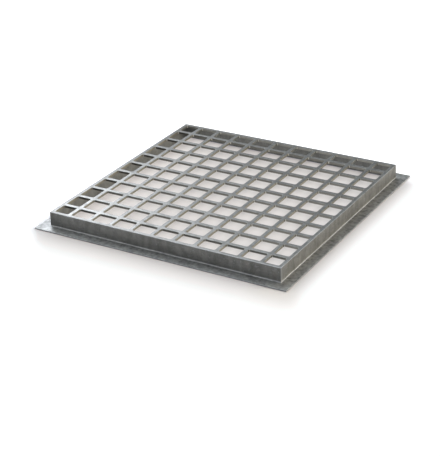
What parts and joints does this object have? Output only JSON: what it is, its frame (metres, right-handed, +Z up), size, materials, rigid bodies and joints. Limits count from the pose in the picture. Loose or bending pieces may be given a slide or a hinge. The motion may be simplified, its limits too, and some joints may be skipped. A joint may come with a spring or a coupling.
{
  "type": "drain inlet grate",
  "caption": "Square perforated steel plate set flush in a low mitred frame of folded sheet, whose outward flange rests round a drain inlet.",
  "frame": {"origin": "centre of the flange's underside, on the surface that the grate stands on", "axes": "+Z up through the grate; the front wall faces -Y and the right wall faces +X"},
  "size_m": [0.353, 0.353, 0.02],
  "materials": {
    "galvanised_plate": "hot-dip galvanised, semi-gloss zinc with a faint mottle",
    "galvanised_sheet": "hot-dip galvanised sheet, semi-gloss zinc with faint streaks"
  },
  "bodies": {
    "root": {"grate_plate": "galvanised_plate", "frame_front": "galvanised_sheet", "frame_right": "galvanised_sheet", "frame_back": "galvanised_sheet", "frame_left": "galvanised_sheet"}
  },
  "joints": []
}
